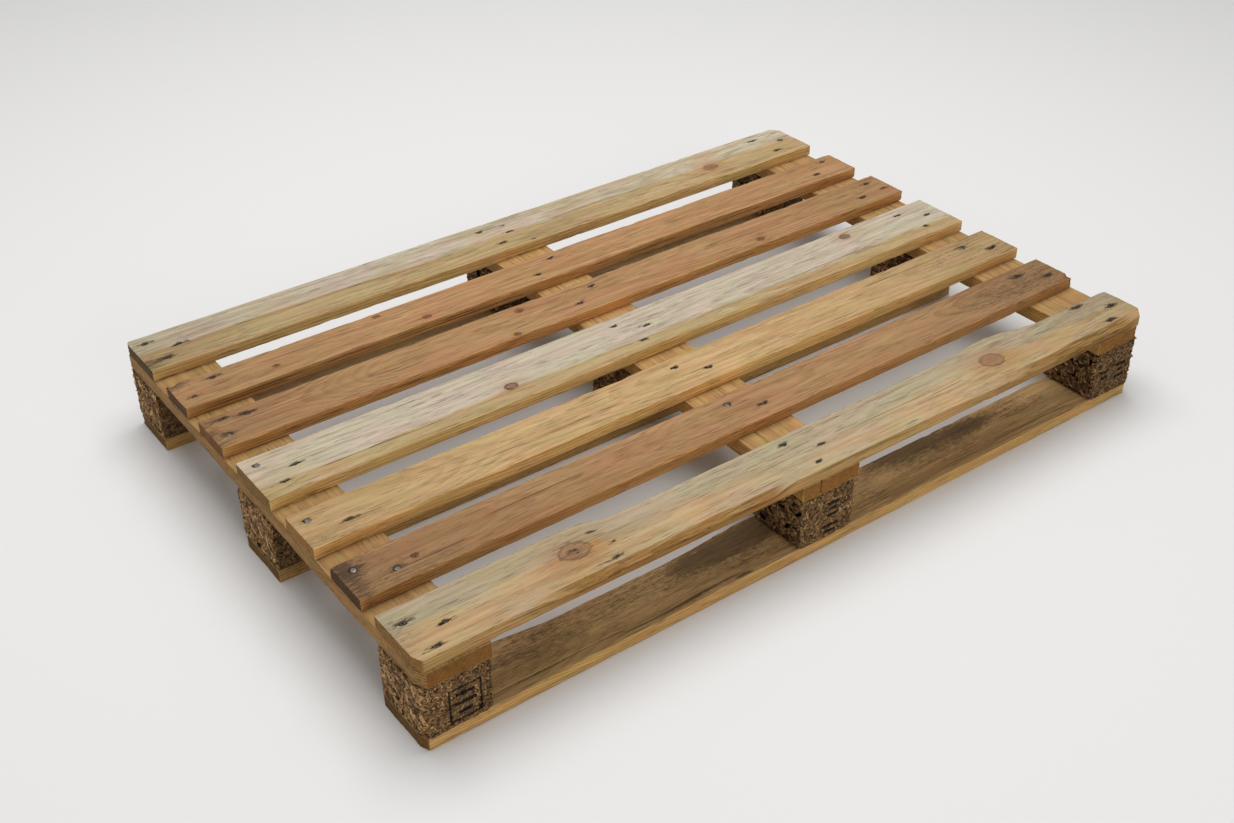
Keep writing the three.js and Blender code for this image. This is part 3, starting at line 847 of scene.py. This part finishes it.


# ---- The boards, each with its own tree ----
#
# Places are mm along a board and across from its middle. A share is 0 at its front edge and 1 at its back.
#   heart: the tree's heart, across and up; weather, grime, wear: overall
#   shade, side_painted_light, end_dark, end_shades: lightness overall; painted light and shade on the
#   sides; lightness of the sawn ends and near each end
#   bands, dirt_bands: (first share, last share, amount); wanes: (first, full, last, width, depth)
#   knots: (along, across, radius, dark rim, dark core); scars: (along, across)
#   cracks: (share, first, last, depth); torn_layers: (first, last, heights)
#   breaks: (along, across, reach, depth, fresh)
#   pale, stains, fresh: (along, across, reach along, reach across, amount)

DECK = (
    dict(wood="weathered_pine", heart=(8, -75), weather=0.10, grime=0.08, end_grime=0.2,
         shade=0.98, side_painted_light=1.5, end_dark=0.6, end_shades=(0.86, 1.08), bands=((0.5, 1.1, 0.75),),
         knots=((407, -8, 10, 0.3, 0.3),), scars=((10, 25), (26, -40)),
         cracks=((0.47, -560, -180, 1.3), (0.52, -100, 330, 1.0)),
         stains=((-590, -30, 30, 18, 0.35), (-470, -20, 60, 8, 0.25))),
    dict(wood="red_pine", heart=(-10, -48), weather=0.0, grime=0.06,
         shade=1.05, side_painted_light=1.25, end_dark=0.6, end_shades=(0.84, 0.95),
         bands=((-0.1, 0.3, -0.3),), dirt_bands=((0.6, 1.1, 0.06),),
         knots=((-459, -8, 3.6, 0.6, 1.0), (-287, 24, 4, 0.6, 0.9), (-229, -19, 5, 0.5, 0.7)),
         cracks=((0.66, -520, -60, 0.9),), torn_layers=((-600, -60, 6, 11), (100, 420, 9)),
         breaks=((-592, 34, 9, 4.0, 0.1),), stains=((-590, 30, 30, 16, 0.4),)),
    dict(wood="red_pine", heart=(6, -52), weather=0.05, grime=0.08, end_grime=0.25,
         side_painted_light=1.6, end_dark=1.3, end_shades=(0.8, 0.88),
         knots=((-115, 22, 5, 0.5, 0.8), (-152, -30, 4, 0.6, 0.9), (305, -22, 5, 0.6, 0.9)),
         scars=((-541, 21), (-570, 25), (585, -10)), cracks=((0.6, -585, -430, 1.0),),
         torn_layers=((-600, -150, 5, 9), (0, 560, 7)), stains=((-585, 20, 60, 60, 0.2),)),
    dict(wood="weathered_pine", heart=(-16, -90), weather=0.15,
         side_painted_light=1.65, end_dark=1.2, bands=((0.28, 1.1, 0.95),), pale=((120, 30, 260, 40, 0.5),),
         knots=((-232, -13, 6.5, 1.0, 0.3), (414, 27, 6.5, 0.9, 1.0)),
         cracks=((0.3, 100, 480, 1.3), (0.24, -560, -200, 0.9))),
    dict(wood="yellow_pine", heart=(12, -64), weather=0.12, grime=0.04,
         shade=1.05, side_painted_light=1.6, end_dark=1.7, end_shades=(0.85, 0.74),
         cracks=((0.75, 300, 560, 0.9), (0.4, -380, -120, 0.8)),
         stains=((500, 10, 120, 60, 0.3), (-560, -30, 90, 30, 0.22))),
    dict(wood="red_pine", heart=(10, -44), weather=0.0, grime=0.12,
         shade=0.93, side_painted_light=1.35, end_dark=0.6, end_shades=(0.80, 0.76),
         knots=((-512, -4, 3.4, 0.7, 0.8),), cracks=((0.62, -420, -250, 0.9), (0.3, -610, -430, 3.0)),
         stains=((500, 0, 120, 60, 0.32), (-530, 0, 130, 60, 0.22), (-590, 20, 14, 60, 0.35)),
         breaks=((596, -34, 13, 3.5, 0.9),), fresh=((592, -34, 14, 12, 0.9),)),
    dict(wood="yellow_pine", heart=(4, -60), weather=0.42, grime=0.05, wear=0.3,
         shade=1.06, side_painted_light=0.85, end_dark=1.3, end_shades=(0.92, 0.84), bands=((0.6, 1.1, 0.5),),
         knots=((-362, 8, 16, 0.05, 1.0), (326, -2, 14, 0.3, 0.35)),
         scars=((-316, -5), (-327, -27), (-326, 26)),
         cracks=((0.86, -40, 240, 1.0), (0.5, 60, 220, 0.8), (0.42, 190, 262, 1.3)),
         wanes=((180, 440, 550, 13, 9), (-480, -380, -110, 10, 8)),
         torn_layers=((400, 590, 3.5, 6.5), (-500, -60, 12.5, 15.0), (-60, 120, 13.5)),
         pale=((-10, 0, 130, 60, 0.35), (-250, 40, 110, 26, 0.6)),
         stains=((-590, 0, 30, 60, 0.2), (520, 20, 110, 50, 0.3), (-470, 44, 60, 10, 0.3),
                 (200, 10, 90, 40, 0.2), (-345, -29, 26, 3, 0.5)),
         fresh=((-334, 4, 9, 6, 1.6), (596, -46, 9, 12, 1.5))),
)
STRINGERS = dict(
    left=dict(heart=(5, -70), weather=0.15, grime=0.22, side_grime=0.2, shade=0.78, end_dark=1.25),
    middle=dict(heart=(-12, -80), weather=0.1, grime=0.05, shade=0.98, end_dark=1.2,
                cracks=((0.69, -500, -200, 6.0),)),
    right=dict(heart=(9, -64), weather=0.2, grime=0.1, shade=0.92, end_dark=1.2),
)
BASES = dict(
    front=dict(heart=(-8, -58), weather=0.1, grime=0.12, shade=1.08, side_painted_light=1.1, end_dark=0.7,
               # Dirt and painted shade: the top darkens towards the back, where it lies under the deck.
               dirt_bands=((0.16, 1.1, 0.32), (0.5, 1.1, 0.12)),
               cracks=((0.17, -560, -290, 5.0), (0.12, -330, -130, 15.0), (0.16, 160, 480, 2.0)),
               stains=((-225, -38, 60, 4, 0.5), (-140, -40, 16, 2.5, 0.9), (-116, -49, 8, 3, 0.6),
                       (-120, 20, 120, 26, 0.35), (200, 30, 70, 16, 0.5), (310, 14, 60, 14, 0.4)),
               breaks=((-356, 44, 9, 3.0, 0.2), (-336, 45, 6, 3.0, 0.2))),
    middle=dict(heart=(6, -66), weather=0.1, grime=0.3, end_dark=0.8),
    back=dict(heart=(-10, -62), weather=0.1, grime=0.3, end_dark=0.8),
)


def add_deck():
    """The seven deck boards. Gives their nails."""
    all_nails = []
    for number, look in enumerate(DECK, 1):
        nails = deck_nails(number)
        board(f"board_deck_{number}", f"deck_board_{number}", look["wood"], look,
              nails=nails, seed=100 * number)
        all_nails += nails
    return all_nails


def add_stringers():
    for number, column in enumerate(COLUMNS):
        board(f"board_stringer_{column}", f"stringer_board_{column}", "stringer_pine",
              STRINGERS[column], turned=True, seed=900 + 50 * number)


def add_bases():
    """The three base boards. Gives their nails."""
    all_nails = []
    for number, row in enumerate(ROWS):
        nails = base_nails(row)
        board(f"board_base_{row}", f"base_board_{row}", "base_pine", BASES[row],
              nails_below=nails, seed=1200 + 50 * number)
        all_nails += nails
    return all_nails


# ---- Nails ----

NAIL_TURNS = 20
NAIL_PROFILE = ((1.6, 0.12), (3.0, 0.0), (3.8, -0.25), (4.1, -0.7), (3.9, -1.3), (2.4, -2.0),
                (1.7, -3.2), (1.6, -6.0))
NAIL_CROWN, NAIL_FOOT = 0.15, -6.5
NAIL_LEAN = 0.05
SHOWN_SINK, SUNK_SINK = 1.0, 1.3
SHOWN_BRIGHT = 0.4


def nail_material():
    material = new_material("nail_steel")
    g = Graph(material)
    place = g.node("ShaderNodeTexCoord").outputs["Object"]
    rust = g.noise(g.scaled(place, (420.0, 420.0, 420.0)), detail=4.0, rough=0.65)
    fine = g.noise(g.scaled(place, (1900.0, 1900.0, 1900.0)), detail=2.0)
    dull = g.mix(g.rise(rust, 0.36, 0.56), colour(104, 98, 94), colour(58, 40, 30))
    steel = g.mix(g.attribute("bright"), dull, colour(176, 172, 166))
    steel = g.brightness(steel, g.rise(fine, 0.3, 0.7, 0.75, 1.1))
    roughness = g.rise(rust, 0.4, 0.62, 0.35, 0.8)
    g.finish(steel, roughness, g.add(rust, g.times(fine, 0.4)), 0.0002)
    g.shader.inputs["Metallic"].default_value = 0.7
    return material


def nail_shape():
    """A nail's head and the first of its shank, pointing down from the origin, and its faces."""
    turns = np.linspace(0, 2 * np.pi, NAIL_TURNS, endpoint=False)
    rings = [np.stack([radius * np.cos(turns), radius * np.sin(turns), np.full_like(turns, height)], 1)
             for radius, height in NAIL_PROFILE]
    points = np.concatenate([[[0, 0, NAIL_CROWN]], *rings, [[0, 0, NAIL_FOOT]]])
    here = np.arange(NAIL_TURNS)
    following = (here + 1) % NAIL_TURNS
    starts = [1 + r * NAIL_TURNS for r in range(len(rings))]
    cap = np.stack([np.zeros_like(here), 1 + here, 1 + following], 1)
    sides = [np.stack([a + here, b + here, b + following, a + following], 1)
             for a, b in zip(starts, starts[1:])]
    foot = np.stack([np.full_like(here, len(points) - 1), starts[-1] + following, starts[-1] + here], 1)
    return points, [cap, *sides, foot]


def add_nail(name, place, facing, shape, face_groups, steel):
    """A nail at place, with its head facing up (1) or down (-1)."""
    lean = rng.normal(0, NAIL_LEAN, 2)
    shown = name in SHOWN_HEADS
    sink = SHOWN_SINK if shown else SUNK_SINK + rng.uniform(-0.3, 0.4)
    points = shape.copy()
    points[:, 2] += lean[0] * points[:, 0] + lean[1] * points[:, 1] - sink
    body = Body()
    body.add(points * [1, facing, facing] + place, *face_groups, bright=SHOWN_BRIGHT if shown else 0.0)
    piece = body.make("nail_" + name, steel)
    if name.endswith("_a"):
        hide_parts(name[:-2])


def add_nails(top_nails, bottom_nails):
    steel = nail_material()
    top = float(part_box("deck_board_1")[1].z) / MM
    shape, face_groups = nail_shape()
    for name, x, y in top_nails:
        add_nail(name, [x, y, top], 1, shape, face_groups, steel)
    for name, x, y in bottom_nails:
        add_nail(name, [x, y, 0], -1, shape, face_groups, steel)


# ---- Pressed chip blocks ----

# Burnt marks on the front blocks, all plain bars: (x, z, half length, half height).
MARK_BARS = (
    (-546, 73, 21, 1.3), (-546, 27, 21, 1.3), (-566, 50, 1.3, 24), (-526, 50, 1.3, 24),
    (-546, 63, 12, 2.4), (-546, 50, 14, 2.4), (-546, 37, 9, 2.4),
    (-1, 71, 10, 2.2), (-1, 62, 6, 2.2), (-1, 53, 10, 2.2), (-5, 36, 11, 2.3), (-5, 27, 11, 2.3),
    (528, 60, 9, 2.2), (528, 50, 9, 2.2), (564, 62, 10, 2.2), (564, 52, 6, 2.2), (564, 42, 10, 2.2),
)
MARK_FRONT = -388
MARK_BLUR = 0.4


def burnt_marks(g):
    """1 on a burnt mark and 0 off it, from the place on a block's front face."""
    place = g.scaled(g.node("ShaderNodeTexCoord").outputs["Object"], (1000.0, 1000.0, 1000.0))
    x, y, z = g.node("ShaderNodeSeparateXYZ", {0: place}).outputs

    def within(value, middle, half):
        away = g.math("ABSOLUTE", g.add(value, -float(middle)))
        return g.rise(away, half - MARK_BLUR, half + MARK_BLUR, 1.0, 0.0)

    total = 0.0
    for middle_x, middle_z, half_x, half_z in MARK_BARS:
        bar = g.times(within(x, middle_x, half_x), within(z, middle_z, half_z))
        total = g.math("MAXIMUM", bar, total)
    return g.times(total, g.rise(y, MARK_FRONT - 2.0, MARK_FRONT, 1.0, 0.0))


def chip_material():
    """Bonded chips: each chip has its own tone, with fine grain on it and dark resin between. The hollows
    of the skin get painted shade, and each face its own painted light and shade.
    """
    material = new_material("pressed_chip")
    g = Graph(material)
    place = g.node("ShaderNodeTexCoord").outputs["Object"]
    tone = g.attribute("tone")
    fine = g.noise(g.scaled(place, (700.0, 700.0, 700.0)), detail=4.0, rough=0.7)
    broad = g.noise(g.scaled(place, (45.0, 45.0, 45.0), (4.0, 4.0, 4.0)), detail=3.0)
    cells = g.node("ShaderNodeTexVoronoi", {"Vector": g.scaled(place, (260.0, 260.0, 520.0)),
                                            "Scale": 1.0}).outputs["Color"]
    cell = g.node("ShaderNodeSeparateColor", {0: cells}).outputs[0]
    level = g.add(g.times(tone, 0.95), g.times(cell, 0.25))
    chips = g.mix(g.rise(level, 0.08, 0.45), colour(62, 44, 28), colour(132, 100, 64))
    chips = g.mix(g.rise(level, 0.55, 1.05), chips, colour(190, 152, 104))
    chips = g.brightness(chips, g.rise(fine, 0.25, 0.75, 0.68, 1.22))
    chips = g.brightness(chips, g.rise(broad, 0.3, 0.7, 0.8, 1.1))
    # Painted shade: the hollows in the skin are darkened.
    chips = g.brightness(chips, g.rise(g.attribute("hollow"), 0.0, 1.0, 1.0, 0.25))
    # Painted light and shade of each face.
    chips = g.brightness(chips, g.attribute("shade"))
    burnt = g.times(burnt_marks(g), g.rise(fine, 0.25, 0.5, 0.75, 1.0))
    chips = g.mix(g.times(burnt, 0.97), chips, colour(22, 17, 14))
    g.finish(chips, g.rise(fine, 0.0, 1.0, 0.7, 0.95), g.add(fine, g.times(cell, 0.5)), 0.0006)
    g.shader.inputs["Specular IOR Level"].default_value = 0.2
    return material


BOX_CORNERS = np.array([[-1, -1, 1], [1, -1, 1], [1, 1, 1], [-1, 1, 1],
                        [-1, -1, -1], [1, -1, -1], [1, 1, -1], [-1, 1, -1]])
BOX_FACES = np.array([[0, 1, 2, 3], [7, 6, 5, 4], [0, 4, 5, 1], [1, 5, 6, 2], [2, 6, 7, 3], [3, 7, 4, 0]])
BLOCK_STEP = 1.9
BLOCK_ROUND = 9.0
CHIPS_PER_BLOCK = 3600
CHIP_PROUD = np.array([0.5, 0.5, -2.0])
CHIP_SPOT = 0.6
LONGEST_CHIP, WIDEST_CHIP = 18, 8


def unit(vectors):
    return vectors / np.linalg.norm(vectors, axis=1, keepdims=True)


def chips_on(body, centres, outward, sizes, tilt, lift, shade, low, high):
    """Thin flat chips bedded in a face. Each lies about square to outward and sticks out a little, but
    not far past the box from low to high, because the block was sawn."""
    count = len(centres)
    spin = rng.uniform(0, 2 * np.pi, count)
    helper = np.where(np.abs(outward[:, 2:3]) > 0.9, [[1.0, 0, 0]], [[0, 0, 1.0]])
    first = unit(np.cross(helper, outward))
    second = np.cross(outward, first)
    side = first * np.cos(spin)[:, None] + second * np.sin(spin)[:, None]
    up = unit(outward + rng.normal(0, tilt, (count, 3)))
    side = unit(side - up * (side * up).sum(1, keepdims=True))
    cross = np.cross(up, side)
    half = sizes / 2
    middle = centres + outward * lift[:, None]
    points = []
    for dx, dy, dz in BOX_CORNERS:
        ragged = rng.uniform(0.6, 1.0, (count, 2))
        points.append(middle + side * (dx * half[:, 0] * ragged[:, 0])[:, None]
                      + cross * (dy * half[:, 1] * ragged[:, 1])[:, None] + up * (dz * half[:, 2])[:, None])
    corners = len(BOX_CORNERS)
    stacked = np.clip(np.stack(points, 1).reshape(-1, 3), low - CHIP_PROUD, high + CHIP_PROUD)
    faces = (BOX_FACES[None] + corners * np.arange(count)[:, None, None]).reshape(-1, 4)
    tone = rng.beta(0.8, 0.9, count)
    # Each chip takes the painted light and shade of its face.
    body.add(stacked, faces, tone=np.repeat(tone, corners), shade=np.repeat(shade, corners))


def block_painted_light(row, column, normal):
    """Painted light and shade on a block's faces: the outer left and right faces are painted paler than the
    inner ones, the left faces of the middle row paler again, and the faces under the deck and the front of
    the front right block get painted shade."""
    left, right = smooth(-normal[:, 0], 0.5, 0.9), smooth(normal[:, 0], 0.5, 0.9)
    front, back = smooth(-normal[:, 1], 0.5, 0.9), smooth(normal[:, 1], 0.5, 0.9)
    shade = 1 + left * (0.35 if column == "left" else -0.1) + right * (0.2 if column == "right" else -0.05)
    if row != "front":
        shade -= 0.25 * front
    elif column == "right":
        shade -= 0.2 * front
    if row == "middle":
        shade += 0.15 * left
    return shade - (0.25 * back if row != "back" else 0.0)


def bar_points(node, rest, low, high):
    """Points on a block's box, moved onto its round-edged bar and then in to the sawn corner."""
    flat_low, flat_high = low[[0, 2]], high[[0, 2]]
    section = rest[:, [0, 2]]
    core = np.clip(section, flat_low + BLOCK_ROUND, flat_high - BLOCK_ROUND)
    out = section - core
    longest = np.abs(out).max(1, keepdims=True)
    section = core + out * longest / np.maximum(np.linalg.norm(out, axis=1, keepdims=True), 1e-9)
    points = np.stack([section[:, 0], rest[:, 1], section[:, 1]], 1)
    surface = cad_surface(node)
    for i, point in enumerate(points):
        place, facing = surface.find_nearest(Vector(point))[:2]
        if (Vector(point) - place).dot(facing) > 0.05:
            points[i] = place
    return points


def block(name, row, column, seed, material):
    """One block: a rough skin with hollows, and chips bedded in its four open sides."""
    node = f"block_{row}_{column}"
    low, high = cad_box(node)
    steps_of = [spread(low[i], high[i], BLOCK_STEP, BLOCK_STEP, ()) for i in range(3)]
    steps, faces = skin([len(s) - 1 for s in steps_of])
    rest = np.stack([steps_of[i][steps[:, i]] for i in range(3)], 1)
    points = bar_points(node, rest, low, high)
    normal = normals_of(points, faces)
    sawn = smooth(np.abs(normal[:, 1]), 0.6, 0.9)
    rough = layered(rest, (3.2, 3.2, 3.2), seed, 3)
    coarse = layered(rest, (11, 11, 11), seed + 1, 2)
    hollow = smooth(layered(rest, (6, 6, 6), seed + 2, 2), 0.5, 1.0)
    relief = 0.35 * rough * (0.5 + 0.5 * sawn) + 0.35 * coarse - 1.6 * hollow * (0.35 + 0.65 * sawn) - 0.5
    touching = (points[:, 2] > high[2] - 0.5) | (points[:, 2] < low[2] + 0.5)
    relief[touching] = np.minimum(relief[touching], -0.1)
    points = points + normal * relief[:, None]
    # Painted light and shade, face by face.
    shade = block_painted_light(row, column, normal)
    body = Body()
    tone = 0.22 + 0.25 * layered(rest, (3, 3, 3), seed + 3, 2)
    body.add(points, faces, tone=tone, hollow=hollow, shade=shade)

    # Slivers on the sawn faces, flakes on the pressed ones.
    count = CHIPS_PER_BLOCK
    chosen = rng.choice(np.flatnonzero(np.abs(normal[:, 2]) < 0.6), count)
    spots = points[chosen] + rng.normal(0, CHIP_SPOT, (count, 3))
    spots[:, 2] = np.clip(spots[:, 2], low[2] + 2.5, high[2] - 2.5)
    facing = normal[chosen]
    on_saw = np.abs(facing[:, 1]) > 0.6
    length = np.where(on_saw, rng.gamma(3.0, 1.6, count) + 1.5, rng.gamma(3.0, 3.0, count) + 4)
    width = np.where(on_saw, rng.gamma(2.0, 0.5, count) + 0.5, rng.gamma(2.5, 1.3, count) + 1.3)
    thick = np.where(on_saw, rng.uniform(0.8, 1.8, count), rng.uniform(0.3, 0.8, count))
    lift = np.where(on_saw, rng.uniform(-0.5, 0.25, count), rng.uniform(-0.15, 0.25, count))
    tilt = np.where(on_saw, 0.2, 0.1)[:, None]
    sizes = np.stack([np.minimum(length, LONGEST_CHIP), np.minimum(width, WIDEST_CHIP), thick], 1)
    chips_on(body, spots, facing, sizes, tilt, lift, shade[chosen], low, high)
    piece = body.make(name, material)
    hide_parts(node)


BLOCK_SEED, BLOCK_SEED_STEP = 2000, 10


def add_blocks():
    material = chip_material()
    places = [(row, column) for row in ROWS for column in COLUMNS]
    for number, (row, column) in enumerate(places):
        seed = BLOCK_SEED + BLOCK_SEED_STEP * number
        block(f"chip_block_{row}_{column}", row, column, seed, material)


add_camera()
add_stage()
top_nails = add_deck()
add_stringers()
bottom_nails = add_bases()
add_nails(top_nails, bottom_nails)
add_blocks()
